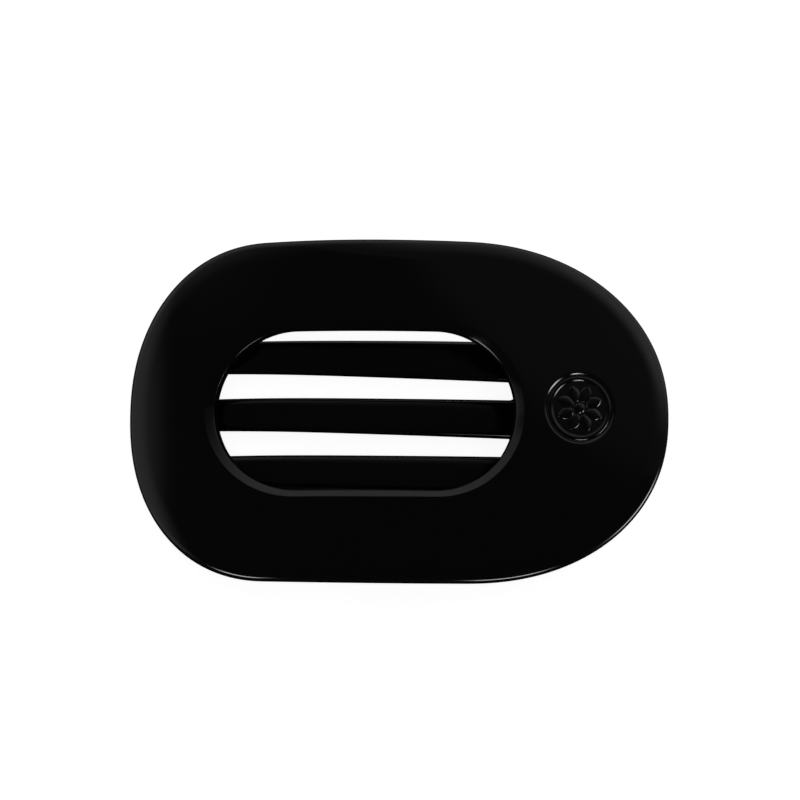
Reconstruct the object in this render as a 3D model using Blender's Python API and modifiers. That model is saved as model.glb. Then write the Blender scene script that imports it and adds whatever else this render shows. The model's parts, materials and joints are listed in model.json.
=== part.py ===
"""Flat claw-type hair clip lying on its back: an arched oval plate over a sprung three-prong jaw.

Metres, +Z up. +X points to the hinged end and Y runs across the clip. The clip stands on Z = 0
with the plate's free end and the lever's flat tail.
"""
import math

import bmesh
import bpy
from mathutils import Matrix

MM = 0.001

# Front plate: two superelliptic ends joined by straight sides, all widened towards mid length.
HALF_WIDTH = 27.1 * MM
FREE_END_CENTRE_X = -22.35 * MM
FREE_END_REACH = 22.5 * MM
HINGE_END_CENTRE_X = 10.45 * MM
HINGE_END_REACH = 34.2 * MM
END_POWER = 2.2
SIDE_BULGE = 0.0445
PLATE_THICKNESS = 3.0 * MM
RIM_BEVEL = 0.9 * MM

# The plate's arch: a parabola with a cubic term, so that it droops more towards the free end.
APEX_X = 4.4 * MM
APEX_Z = 16.56 * MM
ARCH_SQUARE = 4.353
ARCH_CUBE = -31.9
CROWN_RADIUS = 0.4

# Stadium window through the plate.
WINDOW_X = -5.92 * MM
WINDOW_STRAIGHT = 11.37 * MM
WINDOW_RADIUS = 13.15 * MM

# Shallow round recess for the moulded medallion, a little off the centre line.
MEDALLION_X = 29.2 * MM
MEDALLION_Y = 0.8 * MM
MEDALLION_RADIUS = 6.0 * MM
MEDALLION_DEPTH = 0.45 * MM

# Hinge, turning about an axis along Y.
HINGE_X = 25.0 * MM
HINGE_Z = 7.8 * MM
PIN_RADIUS = 1.0 * MM
HOLE_RADIUS = 1.2 * MM
EAR_RADIUS = 2.4 * MM
EAR_FOOT = 4.6 * MM
EAR_THICKNESS = 2.2 * MM
PLATE_EAR_Y = 8.1 * MM
JAW_EAR_Y = 5.6 * MM
PIN_HEAD_RADIUS = 1.8 * MM
PIN_HEAD_HEIGHT = 0.8 * MM
PIN_HALF_LENGTH = 9.6 * MM

# Rear jaw. Its centre line in side view runs from the prong tips to the flat tail, in millimetres.
JAW_LINE = [
    (-38.0, 1.35), (-34.0, 2.7), (-30.0, 3.85), (-26.0, 4.75), (-22.0, 5.4), (-18.0, 5.75),
    (-13.0, 5.9), (-8.0, 5.85), (-2.0, 5.65), (5.0, 5.35), (11.0, 4.95), (17.0, 4.45),
    (22.0, 3.75), (26.0, 2.95), (30.0, 2.05), (35.0, 1.1),
]
PRONG_PITCH = 9.55 * MM
PRONG_TIP_X = -38.0 * MM
PRONG_ROOT_X = 20.0 * MM
PRONG_TIP_WIDTH = 5.05 * MM
PRONG_ROOT_WIDTH = 6.5 * MM
PRONG_TIP_THICKNESS = 1.9 * MM
PRONG_ROOT_THICKNESS = 2.7 * MM
PRONG_TIP_ROUND = 3.0 * MM
PALM_FRONT_X = 18.5 * MM
PALM_HALF_WIDTH = 12.8 * MM
PALM_THICKNESS = 2.9 * MM
NECK_X = 27.0 * MM
TAIL_HALF_WIDTH = 10.0 * MM
TAIL_THICKNESS = 2.2 * MM
TAIL_FLAT_X = 35.0 * MM
TAIL_END_X = 39.8 * MM
SLOT_END_RADIUS = 1.58 * MM

# Torsion spring round the pin.
WIRE_RADIUS = 0.4 * MM
COIL_RADIUS = 1.9 * MM
COIL_TURNS = 6.5
COIL_PITCH = 1.0 * MM
LEG_END_X = 32.5 * MM
LEG_GAP = 0.35 * MM

RING_POINTS = 88
GRID_RINGS = 5
COIL_STEPS = 14


def arch(x, y):
    """Height of the plate's top face."""
    u = x - APEX_X
    return APEX_Z - ARCH_SQUARE * u * u - ARCH_CUBE * u ** 3 - y * y / (2 * CROWN_RADIUS)


def arch_slope(x):
    """Slope of the plate's top face along X."""
    u = x - APEX_X
    return -2 * ARCH_SQUARE * u - 3 * ARCH_CUBE * u * u


def underside(x):
    """Height of the plate's underside on the centre line."""
    return arch(x, 0) - PLATE_THICKNESS * math.hypot(1, arch_slope(x))


def ease(t):
    """0 to 1 with level ends."""
    t = min(max(t, 0), 1)
    return t * t * (3 - 2 * t)


def mix(a, b, t):
    return a + (b - a) * t


def jaw_z(x):
    """Height of the jaw's centre line: a smooth curve through JAW_LINE, level past its end."""
    xs = [p[0] * MM for p in JAW_LINE]
    zs = [p[1] * MM for p in JAW_LINE]
    if x >= xs[-1]:
        return zs[-1]
    x = max(x, xs[0])
    slopes = [(zs[1] - zs[0]) / (xs[1] - xs[0])]
    for k in range(1, len(xs) - 1):
        slopes.append((zs[k + 1] - zs[k - 1]) / (xs[k + 1] - xs[k - 1]))
    slopes.append(0)
    k = max(n for n in range(len(xs) - 1) if x >= xs[n])
    span = xs[k + 1] - xs[k]
    t = (x - xs[k]) / span
    rise = ease(t)
    leave = t * (1 - t) ** 2 * span * slopes[k]
    arrive = t * t * (1 - t) * span * slopes[k + 1]
    return mix(zs[k], zs[k + 1], rise) + leave - arrive


def even_points(path, count):
    """Points at equal steps of length along a dense open path, both ends included."""
    lengths = [0.0]
    for a, b in zip(path, path[1:]):
        lengths.append(lengths[-1] + math.dist(a, b))
    points = []
    k = 0
    for i in range(count):
        goal = lengths[-1] * i / (count - 1)
        while k < len(path) - 2 and lengths[k + 1] < goal:
            k += 1
        t = (goal - lengths[k]) / (lengths[k + 1] - lengths[k])
        points.append((mix(path[k][0], path[k + 1][0], t), mix(path[k][1], path[k + 1][1], t)))
    return points


def closed_ring(hinge_quarter, free_quarter, count):
    """A ring, counter-clockwise, from two quarters that each run from the X axis to the top."""
    quarter = count // 4 + 1
    upper = even_points(hinge_quarter, quarter)[:-1] + even_points(free_quarter, quarter)[::-1]
    lower = [(x, -y) for x, y in upper[-2:0:-1]]
    return upper + lower


def outline_ring(count):
    """The plate's outline."""
    steps = 300
    middle = (FREE_END_CENTRE_X + HINGE_END_CENTRE_X) / 2
    free_x = FREE_END_CENTRE_X - FREE_END_REACH
    hinge_x = HINGE_END_CENTRE_X + HINGE_END_REACH

    def widened(x, y):
        along = (2 * x - free_x - hinge_x) / (hinge_x - free_x)
        return x, y * (1 + SIDE_BULGE * (1 - along ** 2))

    def quarter(centre, reach):
        path = []
        for i in range(steps + 1):
            angle = math.pi / 2 * i / steps
            x = centre + reach * max(math.cos(angle), 0) ** (2 / END_POWER)
            path.append(widened(x, HALF_WIDTH * math.sin(angle) ** (2 / END_POWER)))
        for i in range(1, steps + 1):
            path.append(widened(mix(centre, middle, i / steps), HALF_WIDTH))
        return path

    return closed_ring(quarter(HINGE_END_CENTRE_X, HINGE_END_REACH),
                       quarter(FREE_END_CENTRE_X, -FREE_END_REACH), count)


def window_ring(count):
    """The window's edge, a stadium."""
    steps = 100

    def quarter(side):
        path = []
        for i in range(steps + 1):
            angle = math.pi / 2 * i / steps
            x = WINDOW_X + side * (WINDOW_STRAIGHT + WINDOW_RADIUS * math.cos(angle))
            path.append((x, WINDOW_RADIUS * math.sin(angle)))
        path.append((WINDOW_X, WINDOW_RADIUS))
        return path

    return closed_ring(quarter(1), quarter(-1), count)


def rounded_section(half_width, half_height, radius, steps=3):
    """(y, z) points of a rounded rectangle."""
    radius = min(radius, half_width * 0.98, half_height * 0.98)
    points = []
    for n in range(4):
        side_y = 1 if n in (0, 3) else -1
        side_z = 1 if n in (0, 1) else -1
        for i in range(steps + 1):
            angle = math.pi / 2 * (n + i / steps)
            points.append((side_y * (half_width - radius) + radius * math.cos(angle),
                           side_z * (half_height - radius) + radius * math.sin(angle)))
    return points


def new_object(name, mesh, collection):
    obj = bpy.data.objects.new(name, mesh)
    collection.objects.link(obj)
    return obj


def object_from(bm, name, collection):
    bmesh.ops.recalc_face_normals(bm, faces=bm.faces)
    mesh = bpy.data.meshes.new(name)
    bm.to_mesh(mesh)
    bm.free()
    return new_object(name, mesh, collection)


def loft(name, sections, collection):
    """A closed solid through sections with equal numbers of points."""
    bm = bmesh.new()
    rings = [[bm.verts.new(p) for p in section] for section in sections]
    for a, b in zip(rings, rings[1:]):
        for i in range(len(a)):
            j = (i + 1) % len(a)
            bm.faces.new((a[i], a[j], b[j], b[i]))
    bm.faces.new(rings[0])
    bm.faces.new(rings[-1])
    return object_from(bm, name, collection)


def as_mesh(curve_object, name, collection):
    """A welded mesh object in place of a curve object."""
    bpy.context.view_layer.update()
    evaluated = curve_object.evaluated_get(bpy.context.evaluated_depsgraph_get())
    mesh = bpy.data.meshes.new_from_object(evaluated)
    place = curve_object.matrix_world.copy()
    bpy.data.objects.remove(curve_object)
    bm = bmesh.new()
    bm.from_mesh(mesh)
    bmesh.ops.remove_doubles(bm, verts=bm.verts, dist=0.00001)
    bpy.data.meshes.remove(mesh)
    obj = object_from(bm, name, collection)
    obj.matrix_world = place
    return obj


def upright_slab(name, outline, thickness, y, collection):
    """A flat outline of (x, z) points, standing in the XZ plane at y."""
    curve = bpy.data.curves.new(name, "CURVE")
    curve.dimensions = "2D"
    curve.fill_mode = "BOTH"
    curve.extrude = thickness / 2
    spline = curve.splines.new("POLY")
    spline.points.add(len(outline) - 1)
    for point, (x, z) in zip(spline.points, outline):
        point.co = (x, z, 0, 1)
    spline.use_cyclic_u = True
    obj = new_object(name, curve, collection)
    obj.matrix_world = Matrix.Translation((0, y, 0)) @ Matrix.Rotation(math.pi / 2, 4, "X")
    return as_mesh(obj, name, collection)


def rod(name, radius, depth, place, collection, segments=28):
    """A cylinder along its own Z."""
    bm = bmesh.new()
    bmesh.ops.create_cone(bm, cap_ends=True, segments=segments, radius1=radius, radius2=radius,
                          depth=depth)
    obj = object_from(bm, name, collection)
    obj.matrix_world = place
    return obj


def boolean(obj, other, operation):
    modifier = obj.modifiers.new(other.name, "BOOLEAN")
    modifier.operation = operation
    modifier.solver = "EXACT"
    modifier.object = other
    other.hide_render = True
    other.display_type = "WIRE"


def plastic(name, colour, roughness):
    material = bpy.data.materials.new(name)
    material.use_nodes = True
    shader = material.node_tree.nodes["Principled BSDF"]
    shader.inputs["Base Color"].default_value = (*colour, 1)
    shader.inputs["Roughness"].default_value = roughness
    return material


def steel(name, roughness):
    material = plastic(name, (0.6, 0.6, 0.62), roughness)
    material.node_tree.nodes["Principled BSDF"].inputs["Metallic"].default_value = 1
    return material


def ear_outline(up):
    """A hinge ear's outline: round about the axis, spreading to a foot inside its own part."""
    points = []
    steps = 14
    for i in range(steps + 1):
        angle = math.pi * i / steps
        points.append((HINGE_X - EAR_RADIUS * math.cos(angle),
                       HINGE_Z - up * EAR_RADIUS * math.sin(angle)))
    for x in (HINGE_X + EAR_FOOT, HINGE_X, HINGE_X - EAR_FOOT):
        inside_plate = (arch(x, 0) + underside(x)) / 2
        points.append((x, inside_plate if up > 0 else jaw_z(x)))
    return points


def hinge_hole(name, collection):
    place = Matrix.Translation((HINGE_X, 0, HINGE_Z)) @ Matrix.Rotation(math.pi / 2, 4, "X")
    return rod(name, HOLE_RADIUS, 30 * MM, place, collection)


def make_front_plate(parts, cutters):
    window = window_ring(RING_POINTS)
    outline = outline_ring(RING_POINTS)
    bm = bmesh.new()
    rings = []
    for r in range(GRID_RINGS + 1):
        t = r / GRID_RINGS
        ring = []
        for inner, outer in zip(window, outline):
            x = mix(inner[0], outer[0], t)
            y = mix(inner[1], outer[1], t)
            ring.append(bm.verts.new((x, y, arch(x, y))))
        rings.append(ring)
    for a, b in zip(rings, rings[1:]):
        for i in range(RING_POINTS):
            j = (i + 1) % RING_POINTS
            bm.faces.new((a[i], b[i], b[j], a[j]))
    mesh = bpy.data.meshes.new("front_plate")
    bm.to_mesh(mesh)
    bm.free()
    plate = new_object("front_plate", mesh, parts)

    shell = plate.modifiers.new("thickness", "SOLIDIFY")
    shell.thickness = PLATE_THICKNESS
    shell.offset = -1
    rim = plate.modifiers.new("rounded_rims", "BEVEL")
    rim.width = RIM_BEVEL
    rim.segments = 3
    rim.limit_method = "ANGLE"
    rim.angle_limit = math.radians(50)

    for side in (-1, 1):
        ear = upright_slab(f"plate_ear_{side + 1}", ear_outline(1), EAR_THICKNESS,
                           side * PLATE_EAR_Y, cutters)
        boolean(plate, ear, "UNION")
    boolean(plate, hinge_hole("plate_hinge_hole", cutters), "DIFFERENCE")

    tilt = Matrix.Rotation(-math.atan(arch_slope(MEDALLION_X)), 4, "Y")
    centre = (MEDALLION_X, MEDALLION_Y, arch(MEDALLION_X, MEDALLION_Y))
    depth = 4 * MM
    place = (Matrix.Translation(centre) @ tilt
             @ Matrix.Translation((0, 0, depth / 2 - MEDALLION_DEPTH)))
    recess = rod("medallion_recess", MEDALLION_RADIUS, depth, place, cutters, 40)
    boolean(plate, recess, "DIFFERENCE")
    return plate


def prong_sections(y):
    """Sections of one tapering prong with a rounded tip."""
    stations = [0.0, 0.04, 0.15, 0.35, 0.65, 1.0]
    xs = [PRONG_TIP_X + PRONG_TIP_ROUND * s for s in stations]
    steps = 17
    xs += [mix(xs[-1], PRONG_ROOT_X, i / steps) for i in range(1, steps + 1)]
    sections = []
    for x in xs:
        along = (x - PRONG_TIP_X) / (PRONG_ROOT_X - PRONG_TIP_X)
        round_off = min((x - PRONG_TIP_X) / PRONG_TIP_ROUND, 1)
        narrow = math.sqrt(max(1 - (1 - round_off) ** 2, 0.03))
        half_width = mix(PRONG_TIP_WIDTH, PRONG_ROOT_WIDTH, along) / 2 * narrow
        half_height = mix(PRONG_TIP_THICKNESS, PRONG_ROOT_THICKNESS, along) / 2
        half_height *= mix(0.55, 1, narrow)
        section = rounded_section(half_width, half_height, 1.0 * MM)
        sections.append([(x, y + a, jaw_z(x) + b) for a, b in section])
    return sections


def palm_sections():
    """Sections of the palm and lever, from the prong roots to the flat, round-ended tail."""
    xs = [PALM_FRONT_X, 20 * MM, 23 * MM, 25 * MM, NECK_X, 29 * MM, 31 * MM, 33 * MM, TAIL_FLAT_X]
    tail = TAIL_END_X - TAIL_FLAT_X
    xs += [TAIL_FLAT_X + tail * s for s in (0.3, 0.55, 0.75, 0.88, 0.96, 1.0)]
    sections = []
    for x in xs:
        neck = ease((x - NECK_X) / (TAIL_FLAT_X - NECK_X))
        half_width = mix(PALM_HALF_WIDTH, TAIL_HALF_WIDTH, neck)
        past = max((x - TAIL_FLAT_X) / tail, 0)
        half_width *= max(1 - past ** 2.5, 0.12) ** 0.5
        half_height = mix(PALM_THICKNESS, TAIL_THICKNESS, neck) / 2
        section = rounded_section(half_width, half_height, 0.8 * MM)
        sections.append([(x, a, jaw_z(x) + b) for a, b in section])
    return sections


def make_rear_jaw(parts, cutters):
    jaw = loft("rear_jaw", palm_sections(), parts)
    for n in (-1, 0, 1):
        prong = loft(f"prong_{n + 1}", prong_sections(n * PRONG_PITCH), cutters)
        boolean(jaw, prong, "UNION")
    for side in (-1, 1):
        place = Matrix.Translation((PALM_FRONT_X, side * PRONG_PITCH / 2, jaw_z(PALM_FRONT_X)))
        slot_end = rod(f"slot_end_{side + 1}", SLOT_END_RADIUS, 12 * MM, place, cutters)
        boolean(jaw, slot_end, "DIFFERENCE")
        ear = upright_slab(f"jaw_ear_{side + 1}", ear_outline(-1), EAR_THICKNESS,
                           side * JAW_EAR_Y, cutters)
        boolean(jaw, ear, "UNION")
    boolean(jaw, hinge_hole("jaw_hinge_hole", cutters), "DIFFERENCE")
    return jaw


def make_hinge_pin(parts):
    """A turned pin: its domed head first, its chamfered end last."""
    half = PIN_HALF_LENGTH
    profile = [(0.0, half + PIN_HEAD_HEIGHT)]
    dome = 5
    for i in range(1, dome + 1):
        angle = math.pi / 2 * i / dome
        profile.append((PIN_HEAD_RADIUS * math.sin(angle),
                        half + PIN_HEAD_HEIGHT * mix(0.25, 1, math.cos(angle))))
    profile += [(PIN_HEAD_RADIUS, half), (PIN_RADIUS, half), (PIN_RADIUS, 0.3 * MM - half)]
    profile += [(PIN_RADIUS - 0.3 * MM, -half), (0.0, -half)]
    bm = bmesh.new()
    verts = [bm.verts.new((x, 0, z)) for x, z in profile]
    for a, b in zip(verts, verts[1:]):
        bm.edges.new((a, b))
    mesh = bpy.data.meshes.new("hinge_pin")
    bm.to_mesh(mesh)
    bm.free()
    pin = new_object("hinge_pin", mesh, parts)
    turn = pin.modifiers.new("turned", "SCREW")
    turn.steps = 28
    turn.render_steps = 28
    turn.use_merge_vertices = True
    turn.merge_threshold = 0.00001
    pin.matrix_world = (Matrix.Translation((HINGE_X, 0, HINGE_Z))
                        @ Matrix.Rotation(math.pi / 2, 4, "X"))
    return pin


def make_torsion_spring(parts):
    """A coil round the pin: one leg lies under the plate, the other over the lever."""
    plate_leg_z = underside(LEG_END_X) - WIRE_RADIUS - LEG_GAP
    lever_top = jaw_z(LEG_END_X) + mix(PALM_THICKNESS, TAIL_THICKNESS, 0.8) / 2
    lever_leg_z = lever_top + WIRE_RADIUS + LEG_GAP
    start_y = -COIL_TURNS * COIL_PITCH / 2
    points = [(LEG_END_X, start_y, plate_leg_z)]
    steps = round(COIL_TURNS * COIL_STEPS)
    for i in range(steps + 1):
        angle = math.pi / 2 + 2 * math.pi * i / COIL_STEPS
        points.append((HINGE_X + COIL_RADIUS * math.cos(angle),
                       start_y + COIL_PITCH * i / COIL_STEPS,
                       HINGE_Z + COIL_RADIUS * math.sin(angle)))
    points.append((LEG_END_X, -start_y, lever_leg_z))
    curve = bpy.data.curves.new("torsion_spring", "CURVE")
    curve.dimensions = "3D"
    curve.bevel_depth = WIRE_RADIUS
    curve.bevel_resolution = 2
    curve.use_fill_caps = True
    spline = curve.splines.new("POLY")
    spline.points.add(len(points) - 1)
    for point, place in zip(spline.points, points):
        point.co = (*place, 1)
    return as_mesh(new_object("spring_wire", curve, parts), "torsion_spring", parts)


def finish_piece(obj, material):
    obj.data.materials.append(material)
    obj.data.shade_smooth()
    obj.data.set_sharp_from_angle(angle=math.radians(40))


def build():
    for obj in list(bpy.data.objects):
        bpy.data.objects.remove(obj)
    parts = bpy.data.collections.new("claw_clip")
    cutters = bpy.data.collections.new("claw_clip_cutters")
    bpy.context.scene.collection.children.link(parts)
    bpy.context.scene.collection.children.link(cutters)
    black = (0.012, 0.012, 0.013)
    finish_piece(make_front_plate(parts, cutters), plastic("plate_plastic", black, 0.12))
    finish_piece(make_rear_jaw(parts, cutters), plastic("jaw_plastic", black, 0.16))
    finish_piece(make_hinge_pin(parts), steel("pin_steel", 0.3))
    finish_piece(make_torsion_spring(parts), steel("spring_steel", 0.25))


build()
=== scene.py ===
"""Looks of the flat claw clip: fine meshes, materials, lights and camera around the CAD frame."""
import json
import math

import bmesh
import bpy
import numpy as np
from mathutils import Matrix, Vector, geometry


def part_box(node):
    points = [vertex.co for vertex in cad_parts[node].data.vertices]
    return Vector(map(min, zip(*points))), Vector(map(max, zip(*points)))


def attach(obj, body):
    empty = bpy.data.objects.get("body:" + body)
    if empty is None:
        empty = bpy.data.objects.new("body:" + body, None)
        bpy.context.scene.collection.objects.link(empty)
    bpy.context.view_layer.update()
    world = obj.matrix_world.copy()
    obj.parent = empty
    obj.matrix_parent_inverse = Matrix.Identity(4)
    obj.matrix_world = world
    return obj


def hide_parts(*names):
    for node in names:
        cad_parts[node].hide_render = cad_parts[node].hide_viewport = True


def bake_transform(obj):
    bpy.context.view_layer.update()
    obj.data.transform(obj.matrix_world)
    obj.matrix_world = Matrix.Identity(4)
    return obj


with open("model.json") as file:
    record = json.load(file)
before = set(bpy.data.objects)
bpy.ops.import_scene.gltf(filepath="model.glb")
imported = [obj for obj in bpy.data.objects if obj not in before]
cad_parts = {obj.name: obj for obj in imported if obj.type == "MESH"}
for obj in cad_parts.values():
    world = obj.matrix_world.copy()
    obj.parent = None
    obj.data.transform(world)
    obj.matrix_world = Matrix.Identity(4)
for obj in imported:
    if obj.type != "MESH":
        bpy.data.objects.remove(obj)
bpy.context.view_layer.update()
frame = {"record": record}

MM = 0.001

# What the frame gives.
PLATE_LOW, PLATE_HIGH = (Vector(corner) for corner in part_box("front_plate"))
JAW_LOW, JAW_HIGH = (Vector(corner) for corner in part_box("rear_jaw"))
HINGE = Vector(frame["record"]["behaviour"]["joints"][0]["pos_m"])

# The plate. Distances are measured to the middle of its thickness.
FREE_END_REACH = 22.2 * MM
HINGE_END_REACH = 34.0 * MM
FREE_END_X = PLATE_LOW.x + 0.2 * MM
HINGE_END_X = PLATE_HIGH.x + 0.05 * MM
END_POWER = 2.2
SIDE_BULGE = 0.0445
HALF_WIDTH = (PLATE_HIGH.y + 0.05 * MM) / (1 + SIDE_BULGE)
PLATE_THICKNESS = 3.0 * MM
RIM_ROLL_WIDTH = 3.5 * MM
RIM_ROLL_SLOPE = 0.45
# The free end's share of the roll, which grows to the whole of it between two stations.
FREE_END_ROLL = 0.3
ROLL_GROWS_FROM_X = -18.0 * MM
ROLL_FULL_FROM_X = 6.0 * MM
RIM_RADIUS = 1.25 * MM
RIM_RADIUS_BELOW = 1.2 * MM
CHAMFER_WIDTH = 1.12 * MM
CHAMFER_SLOPES = (0.95, 0.86)
CHAMFER_FADE = 0.15 * MM
WINDOW_RADIUS_ABOVE = 0.25 * MM
WINDOW_RADIUS_BELOW = 0.3 * MM
APEX_X = 4.4 * MM
APEX_Z = PLATE_HIGH.z + 0.26 * MM
ARCH_SQUARE = 4.353
ARCH_CUBE = -31.9
CROWN_RADIUS = 0.4
WINDOW_X = -5.92 * MM
WINDOW_STRAIGHT = 11.37 * MM
WINDOW_RADIUS = 13.15 * MM
MEDALLION_X = 29.2 * MM
MEDALLION_Y = 0.8 * MM
MEDALLION_RADIUS = 6.0 * MM
PLATE_STATIONS = 384
TOP_POINTS = 34
UNDER_POINTS = 22
PATCH_MARGIN = 0.9 * MM
PATCH_CUTS = 6

# The medallion's moulding, in millimetres.
RECESS_DEPTH = 0.34
RECESS_WALL = 0.6
RING_MIDDLE = 4.95
RING_HALF_WIDTH = 0.42
RING_HEIGHT = 0.26
PETALS = 8
PETAL_START = 1.15
PETAL_END = 3.9
PETAL_HALF_WIDTH = 0.95
PETAL_HEIGHT = 0.24
DOME_RADIUS = 0.85
DOME_HEIGHT = 0.30

# The jaw: centre line in side view, in millimetres, from the prong tips to the flat tail.
JAW_LINE = [
    (-38.0, 1.35), (-34.0, 2.7), (-30.0, 3.85), (-26.0, 4.75), (-22.0, 5.4), (-18.0, 5.75),
    (-13.0, 5.9), (-8.0, 5.85), (-2.0, 5.65), (5.0, 5.35), (11.0, 4.95), (17.0, 4.45),
    (22.0, 3.75), (26.0, 2.95), (30.0, 2.05), (35.0, 1.1),
]
WALL_DRAFT = 0.06
PRONG_PITCH = 9.55 * MM
PRONG_TIP_X = JAW_LOW.x
PRONG_ROOT_X = 20.0 * MM
PRONG_TIP_WIDTH = 5.2 * MM
PRONG_ROOT_WIDTH = 6.6 * MM
PALM_FLARE = 0.25 * MM
FLARE_START_X = -30.0 * MM
FLARE_END_X = 12.0 * MM
PRONG_TIP_HALF_THICKNESS = 1.0 * MM
PRONG_ROOT_HALF_THICKNESS = 1.4 * MM
PALM_HALF_THICKNESS = 1.45 * MM
TAIL_HALF_THICKNESS = 1.1 * MM
PRONG_EDGE_REACH = 1.4 * MM
LEVER_EDGE_REACH = 1.0 * MM
SLOT_END_X = 18.5 * MM
NECK_X = 27.0 * MM
TAIL_HALF_WIDTH = 10.0 * MM
TAIL_ARC_X = 33.5 * MM
TAIL_FLAT_X = 35.0 * MM
TAIL_POWER = 2.4
FORK_STEP = 0.6 * MM

# Hinge parts.
EAR_RADIUS = 2.4 * MM
EAR_FOOT = 4.6 * MM
EAR_THICKNESS = 2.2 * MM
PLATE_EAR_Y = 8.1 * MM
JAW_EAR_Y = 5.6 * MM
HOLE_RADIUS = 1.2 * MM
PIN_RADIUS = 1.0 * MM
PIN_HEAD_RADIUS = 1.8 * MM
WIRE_RADIUS = 0.4 * MM
COIL_RADIUS = 1.9 * MM
COIL_PITCH = 1.0 * MM
COIL_TURNS = 6
LEG_END_X = 32.5 * MM
LEG_OFFSET = 0.75 * MM


def ease(t):
    """0 to 1 with level ends."""
    t = np.clip(t, 0, 1)
    return t * t * (3 - 2 * t)


def mix(a, b, t):
    return a + (b - a) * t


# ---------------------------------------------------------------- plate

def arch(x, y):
    """Height of the plate's show face."""
    u = x - APEX_X
    return APEX_Z - ARCH_SQUARE * u ** 2 - ARCH_CUBE * u ** 3 - y ** 2 / (2 * CROWN_RADIUS)


def arch_normal(x, y):
    """Unit normals of the show face."""
    u = x - APEX_X
    slope_x = -2 * ARCH_SQUARE * u - 3 * ARCH_CUBE * u ** 2
    slope_y = -y / CROWN_RADIUS
    normal = np.stack([-slope_x, -slope_y, np.ones_like(x)], axis=-1)
    return normal / np.linalg.norm(normal, axis=-1, keepdims=True)


def even_points(path, count):
    """Points at equal steps of length along a dense open path, both ends included."""
    path = np.asarray(path)
    steps = np.linalg.norm(np.diff(path, axis=0), axis=1)
    along = np.concatenate([[0], np.cumsum(steps)])
    goals = np.linspace(0, along[-1], count)
    return np.stack([np.interp(goals, along, path[:, k]) for k in (0, 1)], axis=1)


def closed_ring(hinge_quarter, free_quarter, count):
    """A ring, counter-clockwise, from two quarters that each run from the X axis to the top."""
    quarter = count // 4 + 1
    right = even_points(hinge_quarter, quarter)
    left = even_points(free_quarter, quarter)[::-1]
    upper = np.concatenate([right[:-1], left])
    lower = upper[-2:0:-1] * (1, -1)
    return np.concatenate([upper, lower])


def outline_ring(count):
    """The plate's outline."""
    free_centre = FREE_END_X + FREE_END_REACH
    hinge_centre = HINGE_END_X - HINGE_END_REACH
    middle = (free_centre + hinge_centre) / 2
    angle = np.linspace(0, math.pi / 2, 2000)
    t = np.linspace(0, 1, 800)[1:]

    def quarter(centre, reach):
        cos = np.clip(np.cos(angle), 0, 1)
        x = np.concatenate([centre + reach * cos ** (2 / END_POWER), mix(centre, middle, t)])
        y = HALF_WIDTH * np.sin(angle) ** (2 / END_POWER)
        y = np.concatenate([y, np.full_like(t, HALF_WIDTH)])
        along = (2 * x - FREE_END_X - HINGE_END_X) / (HINGE_END_X - FREE_END_X)
        return np.stack([x, y * (1 + SIDE_BULGE * (1 - along ** 2))], axis=1)

    return closed_ring(quarter(hinge_centre, HINGE_END_REACH),
                       quarter(free_centre, -FREE_END_REACH), count)


def window_ring(count):
    """The window's edge, a stadium."""
    angle = np.linspace(0, math.pi / 2, 800)

    def quarter(side):
        x = WINDOW_X + side * (WINDOW_STRAIGHT + WINDOW_RADIUS * np.cos(angle))
        arc = np.stack([x, WINDOW_RADIUS * np.sin(angle)], axis=1)
        return np.concatenate([arc, [(WINDOW_X, WINDOW_RADIUS)]])

    return closed_ring(quarter(1), quarter(-1), count)


def ring_normals(ring):
    """Unit normals that point out of a counter-clockwise ring."""
    tangent = np.roll(ring, -1, axis=0) - np.roll(ring, 1, axis=0)
    normal = np.stack([tangent[:, 1], -tangent[:, 0]], axis=1)
    return normal / np.linalg.norm(normal, axis=1, keepdims=True)


def relief(x, y):
    """Height of the medallion's moulding over the show face: a dished recess, a plain raised
    ring and an eight-petal rosette with a small domed centre."""
    dx = (x - MEDALLION_X) / MM
    dy = (y - MEDALLION_Y) / MM
    r = np.hypot(dx, dy)
    outer = MEDALLION_RADIUS / MM
    height = -RECESS_DEPTH * (1 - ease((r - outer + RECESS_WALL) / RECESS_WALL))
    height += RING_HEIGHT * np.clip(1 - ((r - RING_MIDDLE) / RING_HALF_WIDTH) ** 2, 0, 1) ** 0.8
    turn = np.arctan2(dy, dx)
    petal_angle = np.abs((turn * PETALS / (2 * math.pi)) % 1 - 0.5) * 2
    petal_side = petal_angle * math.pi / PETALS * r
    along = np.clip((r - PETAL_START) / (PETAL_END - PETAL_START), 0, 1)
    half = PETAL_HALF_WIDTH * np.sin(math.pi * along) ** 0.7 + 1e-6
    petal = np.clip(1 - (petal_side / half) ** 2, 0, 1) ** 0.6
    height += PETAL_HEIGHT * petal * ((r > PETAL_START) & (r < PETAL_END))
    height += DOME_HEIGHT * np.clip(1 - (r / DOME_RADIUS) ** 2, 0, 1) ** 0.6
    return height * MM


def grid_mesh(name, points, closed_across):
    """A mesh over a grid of points that closes on itself along its first axis."""
    rows, columns = points.shape[:2]
    index = np.arange(rows * columns).reshape(rows, columns)
    nxt = np.roll(index, -1, axis=0)
    across = np.roll(index, -1, axis=1)
    nxt_across = np.roll(nxt, -1, axis=1)
    last = columns if closed_across else columns - 1
    quads = np.stack([index, nxt, nxt_across, across], axis=-1)[:, :last].reshape(-1, 4)
    mesh = bpy.data.meshes.new(name)
    mesh.from_pydata(points.reshape(-1, 3).tolist(), [], quads.tolist())
    mesh.update()
    return mesh


def add_object(name, mesh):
    obj = bpy.data.objects.new(name, mesh)
    bpy.context.scene.collection.objects.link(obj)
    return obj


def smooth(obj, angle=35):
    obj.data.shade_smooth()
    obj.data.set_sharp_from_angle(angle=math.radians(angle))


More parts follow.
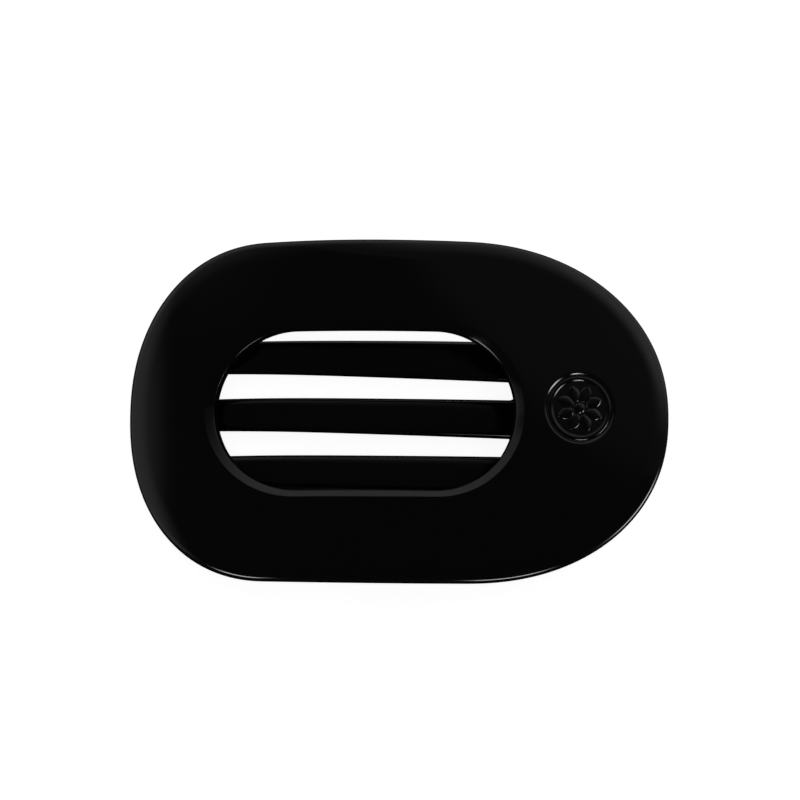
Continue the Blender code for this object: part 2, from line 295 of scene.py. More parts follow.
def corner(radius, end_slope, steps=8):
    """A rounded corner from an upright wall to a slope: distances inwards and rises."""
    turn = np.linspace(0, math.pi / 2 - math.atan(end_slope), steps)
    return radius * (1 - np.cos(turn)), radius * np.sin(turn)


def window_edge():
    """The window's chamfered upper edge: distances inwards and heights over mid thickness."""
    corner_d, corner_h = corner(WINDOW_RADIUS_ABOVE, CHAMFER_SLOPES[0])
    d = np.concatenate([np.linspace(corner_d[-1], CHAMFER_WIDTH, 9),
                        CHAMFER_WIDTH + np.linspace(0, CHAMFER_FADE, 9)[1:]])
    fade = 1 - ease((d - CHAMFER_WIDTH) / CHAMFER_FADE)
    inner, outer = CHAMFER_SLOPES
    slope = mix(outer, inner, np.clip(1 - d / CHAMFER_WIDTH, 0, 1) ** 2) * fade
    rise = corner_h[-1] + np.cumsum((slope[1:] + slope[:-1]) / 2 * np.diff(d))
    wall_top = PLATE_THICKNESS / 2 - rise[-1]
    return np.concatenate([corner_d, d[1:]]), wall_top + np.concatenate([corner_h, rise])


def rim_edge(roll):
    """The plate's rolled-over rim, likewise. roll is the slope that it reaches at its edge."""
    corner_d, corner_h = corner(RIM_RADIUS, roll * (1 - 0.6 * RIM_RADIUS / RIM_ROLL_WIDTH))
    d = np.linspace(corner_d[-1], RIM_ROLL_WIDTH, 14)
    height = PLATE_THICKNESS / 2 - roll * (RIM_ROLL_WIDTH - d) ** 2 / (2 * RIM_ROLL_WIDTH)
    wall_top = height[0] - corner_h[-1]
    return np.concatenate([corner_d, d[1:]]), np.concatenate([wall_top + corner_h, height[1:]])


def make_plate_shell():
    """The plate as a closed band of sections from the window to the outline and back."""
    window = window_ring(PLATE_STATIONS)
    outline = outline_ring(PLATE_STATIONS)
    window_out = ring_normals(window)
    outline_out = ring_normals(outline)
    half = PLATE_THICKNESS / 2
    near_d, near_h = window_edge()
    below_d, below_h = corner(RIM_RADIUS_BELOW, 0)
    below_h = half - RIM_RADIUS_BELOW + below_h
    under_d, under_h = corner(WINDOW_RADIUS_BELOW, 0)
    under_h = half - WINDOW_RADIUS_BELOW + under_h
    rows = []
    for k in range(PLATE_STATIONS):
        length = np.linalg.norm(outline[k] - window[k])
        grown = ease((outline[k, 0] - ROLL_GROWS_FROM_X) / (ROLL_FULL_FROM_X - ROLL_GROWS_FROM_X))
        far_d, far_h = rim_edge(RIM_ROLL_SLOPE * mix(FREE_END_ROLL, 1, grown))
        top = np.linspace(near_d[-1], length - far_d[-1], TOP_POINTS)[1:-1]
        bottom = np.linspace(length - below_d[-1], under_d[-1], UNDER_POINTS)[1:-1]
        wall = np.linspace(far_h[0], -below_h[0], 5)[1:-1]
        d = np.concatenate([[0, 0], near_d, top, length - far_d[::-1], [length] * 3,
                            length - below_d, bottom, under_d[::-1], [0]])
        h = np.concatenate([[0, near_h[0] / 2], near_h, np.full_like(top, half), far_h[::-1],
                            wall, -below_h, np.full_like(bottom, -half), -under_h[::-1],
                            [-under_h[0] / 2]])
        s = (d / length)[:, None]
        plan = ((2 * s ** 3 - 3 * s ** 2 + 1) * window[k] + (3 * s ** 2 - 2 * s ** 3) * outline[k]
                + (s ** 3 - 2 * s ** 2 + s) * window_out[k] * length
                + (s ** 3 - s ** 2) * outline_out[k] * length)
        x, y = plan[:, 0], plan[:, 1]
        normal = arch_normal(x, y)
        base = np.stack([x, y, arch(x, y) - half / normal[:, 2]], axis=1)
        rows.append(base + normal * h[:, None])
    plate = add_object("plate_shell", grid_mesh("plate_shell", np.array(rows), True))

    # The medallion's relief, on a finer patch of the show face.
    bm = bmesh.new()
    bm.from_mesh(plate.data)
    bmesh.ops.recalc_face_normals(bm, faces=bm.faces)
    patch = MEDALLION_RADIUS + PATCH_MARGIN
    faces = []
    for f in bm.faces:
        centre = f.calc_center_median()
        near = math.hypot(centre.x - MEDALLION_X, centre.y - MEDALLION_Y) < patch
        if near and f.normal.z > 0:
            faces.append(f)
    edges = list({e for f in faces for e in f.edges})
    bmesh.ops.subdivide_edges(bm, edges=edges, cuts=PATCH_CUTS, use_grid_fill=True)
    for v in bm.verts:
        reach = math.hypot(v.co.x - MEDALLION_X, v.co.y - MEDALLION_Y)
        if reach < patch and v.co.z > arch(v.co.x, v.co.y) - 1 * MM:
            v.co.z = arch(v.co.x, v.co.y) + float(relief(v.co.x, v.co.y))
    bm.to_mesh(plate.data)
    bm.free()
    return plate


# ---------------------------------------------------------------- sheets with rounded edges

def inside(points, loops):
    """Which (x, y) points lie inside the loops, by crossings."""
    result = np.zeros(len(points), bool)
    for loop in loops:
        nxt = np.roll(loop, -1, axis=0)
        for (ax, ay), (bx, by) in zip(loop, nxt):
            if ay == by:
                continue
            crosses = (ay > points[:, 1]) != (by > points[:, 1])
            at = ax + (points[:, 1] - ay) / (by - ay) * (bx - ax)
            result ^= crosses & (points[:, 0] < at)
    return result


def rounded_sheet(name, loops, edge_radius, half_thickness, place, spacing):
    """A closed solid over a flat outline, with a slightly drafted wall and rounded edges.
    loops[0] runs counter-clockwise and the holes clockwise. place maps arrays of x, y and
    height to points."""
    turns = [None, *np.linspace(0, math.pi / 2, 8)]
    plan = []
    lift = []
    edges = []
    start = 0
    for loop in loops:
        inward = -ring_normals(loop)
        radius = edge_radius(loop[:, 0])
        share = np.clip(radius / half_thickness(loop[:, 0]), 0, 0.7)
        for turn in turns:
            if turn is None:
                inset, level = np.zeros_like(radius), np.zeros_like(radius)
            else:
                inset = radius * mix(WALL_DRAFT, 1, 1 - math.cos(turn))
                level = 1 - share * (1 - math.sin(turn))
            plan.append(loop + inward * inset[:, None])
            lift.append(level)
            n = len(loop)
            edges += [(start + i, start + (i + 1) % n) for i in range(n)]
            start += n
    border = np.concatenate(plan)
    low, high = border.min(axis=0), border.max(axis=0)
    xs = np.arange(low[0], high[0], spacing)
    ys = np.arange(low[1] + spacing / 2, high[1], spacing)
    field = np.stack(np.meshgrid(xs, ys), axis=-1).reshape(-1, 2)
    field = field[inside(field, loops)]
    rim = np.concatenate(loops)
    rim_radius = edge_radius(rim[:, 0])
    gap = np.linalg.norm(field[:, None] - rim[None], axis=2) - rim_radius[None]
    field = field[gap.min(axis=1) > spacing * 0.4]
    verts = np.concatenate([border, field])
    lifts = np.concatenate([np.concatenate(lift), np.ones(len(field))])
    out = geometry.delaunay_2d_cdt([Vector(v) for v in verts * 1000], edges, [], 0, 1e-6)
    flat = np.array([(v.x, v.y) for v in out[0]]) / 1000
    level = np.array([lifts[origin[0]] if origin else 1.0 for origin in out[3]])
    triangles = np.array(out[2])
    centres = flat[triangles].mean(axis=1)
    triangles = triangles[inside(centres, loops)]
    triangles = triangles[level[triangles].max(axis=1) > 1e-6]
    height = half_thickness(flat[:, 0]) * level
    upper = place(flat[:, 0], flat[:, 1], height)
    lower = place(flat[:, 0], flat[:, 1], -height)
    count = len(flat)
    below = np.where(level > 1e-6, np.arange(count) + count, np.arange(count))
    faces = triangles.tolist() + below[triangles[:, ::-1]].tolist()
    bm = bmesh.new()
    made = [bm.verts.new(p) for p in np.concatenate([upper, lower])]
    for face in faces:
        bm.faces.new([made[i] for i in face])
    loose = [v for v in bm.verts if not v.link_faces]
    bmesh.ops.delete(bm, geom=loose, context="VERTS")
    bmesh.ops.recalc_face_normals(bm, faces=bm.faces)
    mesh = bpy.data.meshes.new(name)
    bm.to_mesh(mesh)
    bm.free()
    return add_object(name, mesh)


# ---------------------------------------------------------------- jaw

def jaw_z(x):
    """Height of the jaw's centre line: a smooth curve through JAW_LINE, level past its end."""
    xs = np.array([p[0] for p in JAW_LINE]) * MM
    zs = np.array([p[1] for p in JAW_LINE]) * MM
    slopes = np.empty_like(zs)
    slopes[1:-1] = (zs[2:] - zs[:-2]) / (xs[2:] - xs[:-2])
    slopes[0] = (zs[1] - zs[0]) / (xs[1] - xs[0])
    slopes[-1] = 0
    x = np.clip(x, xs[0], xs[-1])
    k = np.clip(np.searchsorted(xs, x, side="right") - 1, 0, len(xs) - 2)
    span = xs[k + 1] - xs[k]
    t = (x - xs[k]) / span
    leave = t * (1 - t) ** 2 * span * slopes[k]
    arrive = t * t * (1 - t) * span * slopes[k + 1]
    return mix(zs[k], zs[k + 1], ease(t)) + leave - arrive


def jaw_half_thickness(x):
    """Half the jaw's thickness: slim prong tips, a stout palm and a thinner tail."""
    along = np.clip((x - PRONG_TIP_X) / (PRONG_ROOT_X - PRONG_TIP_X), 0, 1)
    prong = mix(PRONG_TIP_HALF_THICKNESS, PRONG_ROOT_HALF_THICKNESS, along)
    palm = mix(prong, PALM_HALF_THICKNESS, ease((x - 14 * MM) / (8 * MM)))
    return mix(palm, TAIL_HALF_THICKNESS, ease((x - NECK_X) / (TAIL_FLAT_X - NECK_X)))


def prong_half_width(x):
    along = (x - PRONG_TIP_X) / (PRONG_ROOT_X - PRONG_TIP_X)
    return mix(PRONG_TIP_WIDTH, PRONG_ROOT_WIDTH, along) / 2


def arc(cx, cy, rx, ry, start, end, count):
    angle = np.radians(np.linspace(start, end, count))
    return np.stack([cx + rx * np.cos(angle), cy + ry * np.sin(angle)], axis=1)


def fork_outline():
    """The jaw's outline in plan: tail, palm, three prongs and two round-ended slots."""
    angle = np.linspace(0, math.pi / 2, 40)
    reach = JAW_HIGH.x - TAIL_ARC_X
    tail = np.stack([TAIL_ARC_X + reach * np.cos(angle) ** (2 / TAIL_POWER),
                     TAIL_HALF_WIDTH * np.sin(angle) ** (2 / TAIL_POWER)], axis=1)
    tail = even_points(tail, 28)

    tip = prong_half_width(PRONG_TIP_X)
    tip_x = PRONG_TIP_X + tip
    x = np.arange(TAIL_ARC_X - FORK_STEP, tip_x + FORK_STEP / 2, -FORK_STEP)
    side = PRONG_PITCH + prong_half_width(np.minimum(x, NECK_X))
    side += PALM_FLARE * ease((x - FLARE_START_X) / (FLARE_END_X - FLARE_START_X))
    side = mix(side, TAIL_HALF_WIDTH, ease((x - NECK_X) / (TAIL_ARC_X - NECK_X)))
    outer = np.stack([x, side], axis=1)
    outer_tip = arc(tip_x, PRONG_PITCH, tip, tip, 90, 270, 25)

    x = np.arange(tip_x + FORK_STEP, SLOT_END_X - FORK_STEP / 2, FORK_STEP)
    inner = np.stack([x, PRONG_PITCH - prong_half_width(x)], axis=1)
    slot = PRONG_PITCH / 2 - prong_half_width(SLOT_END_X)
    slot_end = arc(SLOT_END_X, PRONG_PITCH / 2, slot, slot, 90, -90, 17)
    middle = np.stack([x[::-1], prong_half_width(x[::-1])], axis=1)
    middle_tip = arc(tip_x, 0, tip, tip, 90, 180, 13)

    upper = np.concatenate([tail, outer, outer_tip, inner, slot_end, middle, middle_tip])
    lower = upper[-2:0:-1] * (1, -1)
    return np.concatenate([upper, lower])


def fork_edge_radius(x):
    """How far the rounded edge reaches inwards: further on the prongs than on the lever."""
    return mix(PRONG_EDGE_REACH, LEVER_EDGE_REACH, ease((x - 12 * MM) / (12 * MM)))


def on_jaw(x, y, height):
    """Bends a flat sheet along the jaw's centre line."""
    slope = (jaw_z(x + 0.05 * MM) - jaw_z(x - 0.05 * MM)) / (0.1 * MM)
    length = np.hypot(1, slope)
    return np.stack([x - height * slope / length, y, jaw_z(x) + height / length], axis=1)


def ear_loops(up):
    """A hinge ear's outline in side view, and its pin hole."""
    rounding = arc(HINGE.x, HINGE.z, EAR_RADIUS, EAR_RADIUS * up, 180, 360, 33)
    x = np.linspace(HINGE.x + EAR_FOOT, HINGE.x - EAR_FOOT, 16)
    if up > 0:
        foot_z = arch(x, 0.0) - PLATE_THICKNESS * 0.55
    else:
        foot_z = jaw_z(x)
    foot = np.stack([x, foot_z], axis=1)
    flare = []
    for side, z in ((1, foot_z[0]), (-1, foot_z[-1])):
        t = np.linspace(0, 1, 12)
        x = HINGE.x + side * (EAR_RADIUS + (EAR_FOOT - EAR_RADIUS) * t ** 2.2)
        flare.append(np.stack([x, mix(HINGE.z, z, t)], axis=1))
    outline = np.concatenate([rounding, flare[0][1:], foot[1:-1], flare[1][:0:-1]])
    hole = arc(HINGE.x, HINGE.z, HOLE_RADIUS, HOLE_RADIUS, 360, 0, 49)[:-1]
    if up < 0:
        outline = outline[::-1]
    return [outline, hole]


def make_ear(name, up, y):
    return rounded_sheet(name, ear_loops(up), lambda x: np.full_like(x, 0.3 * MM),
                         lambda x: np.full_like(x, EAR_THICKNESS / 2),
                         lambda x, z, h: np.stack([x, y + h, z], axis=1), 0.5 * MM)


def unite(obj, others):
    for other in others:
        modifier = obj.modifiers.new(other.name, "BOOLEAN")
        modifier.operation = "UNION"
        modifier.solver = "EXACT"
        modifier.object = other
    bpy.context.view_layer.update()
    evaluated = obj.evaluated_get(bpy.context.evaluated_depsgraph_get())
    mesh = bpy.data.meshes.new_from_object(evaluated)
    obj.modifiers.clear()
    obj.data = mesh
    for other in others:
        bpy.data.objects.remove(other)


def make_jaw_fork():
    fork = rounded_sheet("jaw_fork", [fork_outline()], fork_edge_radius, jaw_half_thickness,
                         on_jaw, 0.8 * MM)
    ears = [make_ear(f"jaw_ear_{n}", -1, side * JAW_EAR_Y) for n, side in enumerate((-1, 1))]
    unite(fork, ears)
    return fork


# ---------------------------------------------------------------- pin and spring

def tube(name, path, radius, sides=16):
    """A round wire along a path, with slightly domed ends."""
    path = np.asarray(path)
    tangents = np.gradient(path, axis=0)
    tangents /= np.linalg.norm(tangents, axis=1, keepdims=True)
    rings = []
    across = Vector(tangents[0]).orthogonal().normalized()
    for point, tangent in zip(path, tangents):
        tangent = Vector(tangent)
        across = (across - tangent * across.dot(tangent)).normalized()
        side = tangent.cross(across)
        rings.append([Vector(point) + radius * (math.cos(a) * across + math.sin(a) * side)
                      for a in np.arange(sides) * 2 * math.pi / sides])
    bm = bmesh.new()
    verts = [[bm.verts.new(p) for p in ring] for ring in rings]
    for a, b in zip(verts, verts[1:]):
        for i in range(sides):
            j = (i + 1) % sides
            bm.faces.new((a[i], a[j], b[j], b[i]))
    for ring, point, out in ((verts[0], path[0], -tangents[0]),
                             (verts[-1], path[-1], tangents[-1])):
        tip = bm.verts.new(Vector(point + out * radius * 0.35))
        for i in range(sides):
            bm.faces.new((ring[i], ring[(i + 1) % sides], tip))
    bmesh.ops.recalc_face_normals(bm, faces=bm.faces)
    mesh = bpy.data.meshes.new(name)
    bm.to_mesh(mesh)
    bm.free()
    return add_object(name, mesh)


def make_spring():
    """The torsion spring, with straight legs that leave its coil as tangents."""
    under_plate = float(arch(LEG_END_X, 0.0)) - PLATE_THICKNESS
    lever_top = float(jaw_z(LEG_END_X) + jaw_half_thickness(LEG_END_X))
    plate_leg = Vector((LEG_END_X, under_plate - LEG_OFFSET))
    lever_leg = Vector((LEG_END_X, lever_top + LEG_OFFSET))
    centre = Vector((HINGE.x, HINGE.z))

    def tangent_angle(end, side):
        to_end = end - centre
        return math.atan2(to_end.y, to_end.x) + side * math.acos(COIL_RADIUS / to_end.length)

    first = tangent_angle(plate_leg, 1)
    last = tangent_angle(lever_leg, -1) + 2 * math.pi * (COIL_TURNS + 1)
    angles = np.linspace(first, last, 320)
    half = (last - first) / (2 * math.pi) * COIL_PITCH / 2
    ys = np.linspace(-half, half, len(angles))
    coil = np.stack([HINGE.x + COIL_RADIUS * np.cos(angles), ys,
                     HINGE.z + COIL_RADIUS * np.sin(angles)], axis=1)
    t = np.linspace(0, 1, 24)[:, None]
    start = np.array([plate_leg.x, -half, plate_leg.y])
    end = np.array([lever_leg.x, half, lever_leg.y])
    path = np.concatenate([mix(start, coil[0], t[:-1]), coil, mix(coil[-1], end, t[1:])])
    return tube("spring_coil", path, WIRE_RADIUS), half


def make_pin():
    """The hinge pin: a low domed head, a plain shaft and a chamfered, lightly peened end."""
    low, high = (Vector(corner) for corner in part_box("hinge_pin"))
    head_y, end_y = low.y, high.y
    under_head = head_y + 0.8 * MM
    profile = []
    for angle in np.linspace(90, 12, 12):
        a = math.radians(angle)
        profile.append((PIN_HEAD_RADIUS * math.cos(a), under_head - 0.25 * MM
                        - 0.55 * MM * math.sin(a)))
    profile[0] = (0.0, profile[0][1])
    profile += [(PIN_HEAD_RADIUS, under_head - 0.3 * MM),
                (PIN_HEAD_RADIUS, under_head - 0.08 * MM),
                (PIN_HEAD_RADIUS - 0.08 * MM, under_head), (PIN_RADIUS + 0.06 * MM, under_head),
                (PIN_RADIUS, under_head + 0.06 * MM)]
    profile += [(PIN_RADIUS, mix(under_head, end_y, s)) for s in np.linspace(0.1, 0.9, 9)]
    profile += [(PIN_RADIUS, end_y - 0.35 * MM), (PIN_RADIUS - 0.06 * MM, end_y - 0.26 * MM),
                (PIN_RADIUS - 0.3 * MM, end_y - 0.02 * MM), (PIN_RADIUS - 0.38 * MM, end_y),
                (0.25 * MM, end_y), (0.18 * MM, end_y - 0.12 * MM), (0.0, end_y - 0.15 * MM)]
    sides = 48
    bm = bmesh.new()
    rings = []
    for r, y in profile:
        if r == 0:
            rings.append([bm.verts.new((HINGE.x, y, HINGE.z))])
            continue
        angles = np.arange(sides) * 2 * math.pi / sides
        rings.append([bm.verts.new((HINGE.x + r * math.cos(a), y, HINGE.z + r * math.sin(a)))
                      for a in angles])
    for a, b in zip(rings, rings[1:]):
        for i in range(sides):
            j = (i + 1) % sides
            if len(a) == 1:
                bm.faces.new((a[0], b[i], b[j]))
            elif len(b) == 1:
                bm.faces.new((a[i], b[0], a[j]))
            else:
                bm.faces.new((a[i], b[i], b[j], a[j]))
    bmesh.ops.recalc_face_normals(bm, faces=bm.faces)
    mesh = bpy.data.meshes.new("pin_turned")
    bm.to_mesh(mesh)
    bm.free()
    return add_object("pin_turned", mesh)


# ---------------------------------------------------------------- materials

def shader_of(material):
    material.use_nodes = True
    return material.node_tree.nodes["Principled BSDF"]


def gloss_plastic(name, colour, roughness, scratch, seed):
    """Moulded gloss plastic: faint flow waves, fine hairline scratches and uneven polish."""
    material = bpy.data.materials.new(name)
    shader = shader_of(material)
    nodes, links = material.node_tree.nodes, material.node_tree.links
    shader.inputs["Base Color"].default_value = (*colour, 1)
    shader.inputs["IOR"].default_value = 1.5
    place = nodes.new("ShaderNodeTexCoord")

    def noise(scale, detail, stretch=(1, 1, 1), turn=(0, 0, 0)):
        mapping = nodes.new("ShaderNodeMapping")
        mapping.inputs["Scale"].default_value = stretch
        mapping.inputs["Rotation"].default_value = turn
        mapping.inputs["Location"].default_value = (seed, seed * 0.7, seed * 0.3)
        texture = nodes.new("ShaderNodeTexNoise")
        texture.inputs["Scale"].default_value = scale
        texture.inputs["Detail"].default_value = detail
        links.new(place.outputs["Object"], mapping.inputs["Vector"])
        links.new(mapping.outputs["Vector"], texture.inputs["Vector"])
        return texture.outputs["Fac"]

    def remap(value, low, high, to_low, to_high):
        node = nodes.new("ShaderNodeMapRange")
        node.inputs["From Min"].default_value = low
        node.inputs["From Max"].default_value = high
        node.inputs["To Min"].default_value = to_low
        node.inputs["To Max"].default_value = to_high
        links.new(value, node.inputs["Value"])
        return node.outputs["Result"]

    def add(a, b, operation="ADD"):
        node = nodes.new("ShaderNodeMath")
        node.operation = operation
        links.new(a, node.inputs[0])
        links.new(b, node.inputs[1])
        return node.outputs["Value"]

    polish = noise(90, 4)
    smear = noise(380, 3, (0.25, 1, 1), (0, 0, 0.5))
    hair_a = noise(2600, 2, (0.03, 1, 1), (0, 0, 0.35))
    hair_b = noise(2300, 2, (1, 0.03, 1), (0, 0, -0.2))
    hairs = add(remap(hair_a, 0.66, 0.74, 0, 1), remap(hair_b, 0.67, 0.75, 0, 1), "MAXIMUM")
    worn = add(hairs, remap(polish, 0.45, 0.7, 0, 1), "MULTIPLY")
    rough = add(remap(polish, 0.3, 0.7, roughness * 0.8, roughness * 1.25),
                remap(smear, 0.35, 0.7, 0, roughness * 0.35))
    rough = add(rough, remap(worn, 0, 1, 0, 0.12))
    links.new(rough, shader.inputs["Roughness"])

    flow = nodes.new("ShaderNodeBump")
    flow.inputs["Strength"].default_value = 0.5
    flow.inputs["Distance"].default_value = 0.00004
    links.new(noise(55, 2), flow.inputs["Height"])
    fine = nodes.new("ShaderNodeBump")
    fine.inputs["Strength"].default_value = scratch
    fine.inputs["Distance"].default_value = 0.000004
    fine.invert = True
    links.new(worn, fine.inputs["Height"])
    links.new(flow.outputs["Normal"], fine.inputs["Normal"])
    links.new(fine.outputs["Normal"], shader.inputs["Normal"])
    return material


def steel(name, colour, roughness, stretch):
    """Drawn or turned steel: fine lines along the working direction, a few dull spots."""
    material = bpy.data.materials.new(name)
    shader = shader_of(material)
    nodes, links = material.node_tree.nodes, material.node_tree.links
    shader.inputs["Metallic"].default_value = 1
    place = nodes.new("ShaderNodeTexCoord")
    mapping = nodes.new("ShaderNodeMapping")
    mapping.inputs["Scale"].default_value = stretch
    links.new(place.outputs["Object"], mapping.inputs["Vector"])
    lines = nodes.new("ShaderNodeTexNoise")
    lines.inputs["Scale"].default_value = 4000
    lines.inputs["Detail"].default_value = 3
    links.new(mapping.outputs["Vector"], lines.inputs["Vector"])
    spots = nodes.new("ShaderNodeTexNoise")
    spots.inputs["Scale"].default_value = 700
    spots.inputs["Detail"].default_value = 4
    links.new(place.outputs["Object"], spots.inputs["Vector"])
    ramp = nodes.new("ShaderNodeValToRGB")
    ramp.color_ramp.elements[0].position = 0.35
    ramp.color_ramp.elements[0].color = (*[c * 0.62 for c in colour], 1)
    ramp.color_ramp.elements[1].position = 0.62
    ramp.color_ramp.elements[1].color = (*colour, 1)
    links.new(spots.outputs["Fac"], ramp.inputs["Fac"])
    links.new(ramp.outputs["Color"], shader.inputs["Base Color"])
    rough = nodes.new("ShaderNodeMapRange")
    rough.inputs["From Min"].default_value = 0.3
    rough.inputs["From Max"].default_value = 0.7
    rough.inputs["To Min"].default_value = roughness * 0.7
    rough.inputs["To Max"].default_value = roughness * 1.4
    links.new(lines.outputs["Fac"], rough.inputs["Value"])
    links.new(rough.outputs["Result"], shader.inputs["Roughness"])
    bump = nodes.new("ShaderNodeBump")
    bump.inputs["Strength"].default_value = 0.4
    bump.inputs["Distance"].default_value = 0.000005
    links.new(lines.outputs["Fac"], bump.inputs["Height"])
    links.new(bump.outputs["Normal"], shader.inputs["Normal"])
    return material


# ---------------------------------------------------------------- build the pieces

def dress(obj, material):
    obj.data.materials.clear()
    obj.data.materials.append(material)


plate = make_plate_shell()
ears = [make_ear(f"plate_ear_{n}", 1, side * PLATE_EAR_Y) for n, side in enumerate((-1, 1))]
unite(plate, ears)
smooth(plate, 60)
dress(plate, gloss_plastic("plate_gloss", (0.0025, 0.0025, 0.0028), 0.07, 0.25, 3.1))
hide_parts("front_plate")
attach(plate, "plate")

jaw = make_jaw_fork()
smooth(jaw)
dress(jaw, gloss_plastic("jaw_gloss", (0.0028, 0.0028, 0.003), 0.11, 0.3, 8.4))
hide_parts("rear_jaw")
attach(jaw, "jaw")

pin = make_pin()
smooth(pin)
dress(pin, steel("pin_steel_turned", (0.62, 0.62, 0.64), 0.28, (1, 0.08, 1)))
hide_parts("hinge_pin")
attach(pin, "plate")

spring, coil_half = make_spring()
smooth(spring)
dress(spring, steel("spring_wire_drawn", (0.5, 0.5, 0.53), 0.24, (0.2, 1, 0.2)))
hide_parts("torsion_spring")
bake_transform(spring)


# ---------------------------------------------------------------- stage, lights and camera

def make_floor():
    half = 1.5
    bm = bmesh.new()
    corners = [bm.verts.new((x, y, 0)) for x, y in ((-half, -half), (half, -half),
                                                   (half, half), (-half, half))]
    bm.faces.new(corners)
    mesh = bpy.data.meshes.new("floor")
    bm.to_mesh(mesh)
    bm.free()
    floor = add_object("floor", mesh)
    material = bpy.data.materials.new("floor_white")
    shader = shader_of(material)
    shader.inputs["Base Color"].default_value = (0.86, 0.86, 0.86, 1)
    shader.inputs["Roughness"].default_value = 0.7
    shader.inputs["Specular IOR Level"].default_value = 0.1
    shader.inputs["Emission Color"].default_value = (1, 1, 1, 1)
    shader.inputs["Emission Strength"].default_value = 0.9
    mesh.materials.append(material)
    floor.visible_glossy = False


def area_light(name, place, target, size, power):
    data = bpy.data.lights.new(name, "AREA")
    data.shape = "RECTANGLE"
    data.size, data.size_y = size
    data.energy = power
    light = bpy.data.objects.new(name, data)
    bpy.context.scene.collection.objects.link(light)
    direction = Vector(target) - Vector(place)
    light.matrix_world = (Matrix.Translation(place)
                          @ direction.to_track_quat("-Z", "Y").to_matrix().to_4x4())
    return light


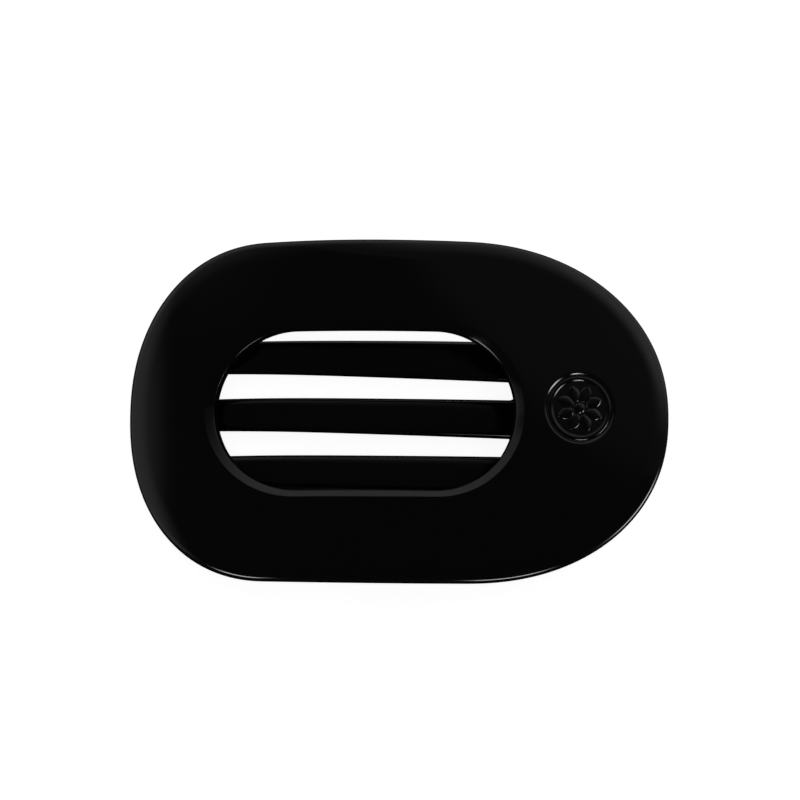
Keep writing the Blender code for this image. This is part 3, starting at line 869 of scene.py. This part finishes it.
def make_world():
    """A dark room with one broad soft box beyond +Y, strongest towards +X, and one low at -X.
    Two small bright boxes at -Y and a low one at +X show in reflections only. Rays that leave
    the camera see a plain pale backdrop."""
    world = bpy.data.worlds.new("studio")
    world.use_nodes = True
    bpy.context.scene.world = world
    nodes, links = world.node_tree.nodes, world.node_tree.links
    place = nodes.new("ShaderNodeTexCoord")
    split = nodes.new("ShaderNodeSeparateXYZ")
    links.new(place.outputs["Generated"], split.inputs["Vector"])

    def ramp(value, low, high, to_low, to_high):
        node = nodes.new("ShaderNodeMapRange")
        node.interpolation_type = "SMOOTHSTEP"
        node.inputs["From Min"].default_value = low
        node.inputs["From Max"].default_value = high
        node.inputs["To Min"].default_value = to_low
        node.inputs["To Max"].default_value = to_high
        links.new(value, node.inputs["Value"])
        return node.outputs["Result"]

    def combine(operation, *values):
        node = nodes.new("ShaderNodeMath")
        node.operation = operation
        for socket, value in zip(node.inputs, values):
            if isinstance(value, (int, float)):
                socket.default_value = value
            else:
                links.new(value, socket)
        return node.outputs["Value"]

    # The broad box at +Y, brighter towards the horizon.
    x, y, z = (split.outputs[axis] for axis in "XYZ")
    off_zenith = combine("SQRT", combine("SUBTRACT", 1, combine("MULTIPLY", z, z)))
    lowness = combine("MAXIMUM", combine("SUBTRACT", off_zenith, 0.46), 0)
    back_box = combine("MULTIPLY", combine("MULTIPLY", lowness, lowness), 1.7)
    back_box = combine("MULTIPLY", back_box, ramp(x, 0.35, 0.65, 1, 1.6))
    back_box = combine("MINIMUM", back_box, 0.42)
    towards_back = combine("ADD", y, combine("MULTIPLY", x, 0.1))
    back_box = combine("MULTIPLY", back_box, ramp(towards_back, 0.12, 0.42, 0, 1))
    back_box = combine("MULTIPLY", back_box, ramp(x, -0.5, 0.4, 0.8, 0.95))

    # The low box at -X, a faint glow in the rest of the room and a dark ground.
    left_box = ramp(combine("MULTIPLY", x, -1), 0.825, 0.955, 0, 0.40)
    glow = ramp(combine("ADD", x, combine("MULTIPLY", y, 2)), 0.58, 0.72, 0.03, 0.07)
    light = combine("ADD", combine("ADD", back_box, left_box), glow)
    light = combine("MULTIPLY", light, ramp(z, -0.5, -0.25, 0.03, 1))

    # The small boxes.
    rays = nodes.new("ShaderNodeLightPath").outputs
    aside = combine("ABSOLUTE", combine("ADD", x, 0.1))
    front_boxes = combine("MULTIPLY", ramp(aside, 0.24, 0.36, 0, 12), ramp(aside, 0.56, 0.7, 1, 0))
    front_boxes = combine("MULTIPLY", front_boxes, ramp(y, -0.6, -0.4, 1, 0))
    front_boxes = combine("MULTIPLY", front_boxes, ramp(z, 0.12, 0.22, 0, 1))
    front_boxes = combine("MULTIPLY", front_boxes, ramp(z, 0.27, 0.37, 1, 0))
    side_box = combine("MULTIPLY", ramp(x, 0.7, 0.9, 0, 9), ramp(y, -0.3, -0.1, 1, 0))
    side_box = combine("MULTIPLY", side_box, ramp(y, -0.65, -0.48, 0.1, 1))
    side_box = combine("MULTIPLY", side_box, ramp(z, -0.1, 0.02, 0, 1))
    side_box = combine("MULTIPLY", side_box, ramp(z, 0.14, 0.26, 1, 0))
    small_boxes = combine("ADD", front_boxes, side_box)
    small_boxes = combine("MULTIPLY", small_boxes, rays["Is Glossy Ray"])
    light = combine("ADD", light, small_boxes)

    backdrop = combine("MULTIPLY", rays["Is Camera Ray"], 0.95)
    links.new(combine("MAXIMUM", light, backdrop), nodes["Background"].inputs["Strength"])
    nodes["Background"].inputs["Color"].default_value = (1, 1, 1, 1)


def make_camera():
    """Looks down on the show face, slightly from the -Y side and square to the plate's rim."""
    rest_tilt = math.radians(4.0)
    look_tilt = math.radians(8.0)
    roll = math.radians(0.4)
    lens, sensor, view_width = 120.0, 36.0, 131.5 * MM
    target = Vector((-0.15 * MM, 2.08 * MM, 11 * MM))
    turn = (Matrix.Rotation(-rest_tilt, 3, "Y") @ Matrix.Rotation(look_tilt, 3, "X")
            @ Matrix.Rotation(roll, 3, "Z"))
    back = turn @ Vector((0, 0, 1))
    data = bpy.data.cameras.new("camera")
    data.lens = lens
    data.sensor_width = sensor
    data.clip_start, data.clip_end = 0.01, 10
    camera = bpy.data.objects.new("camera", data)
    bpy.context.scene.collection.objects.link(camera)
    distance = view_width * lens / sensor
    camera.matrix_world = Matrix.Translation(target + back * distance) @ turn.to_4x4()
    bpy.context.scene.camera = camera


make_floor()
make_world()
overhead = area_light("overhead", (0, 0, 1.2), (0, 0, 0), (1.0, 1.0), 1.6)
overhead.visible_glossy = False
make_camera()
bpy.context.scene.view_settings.view_transform = "Standard"

bpy.context.view_layer.update()
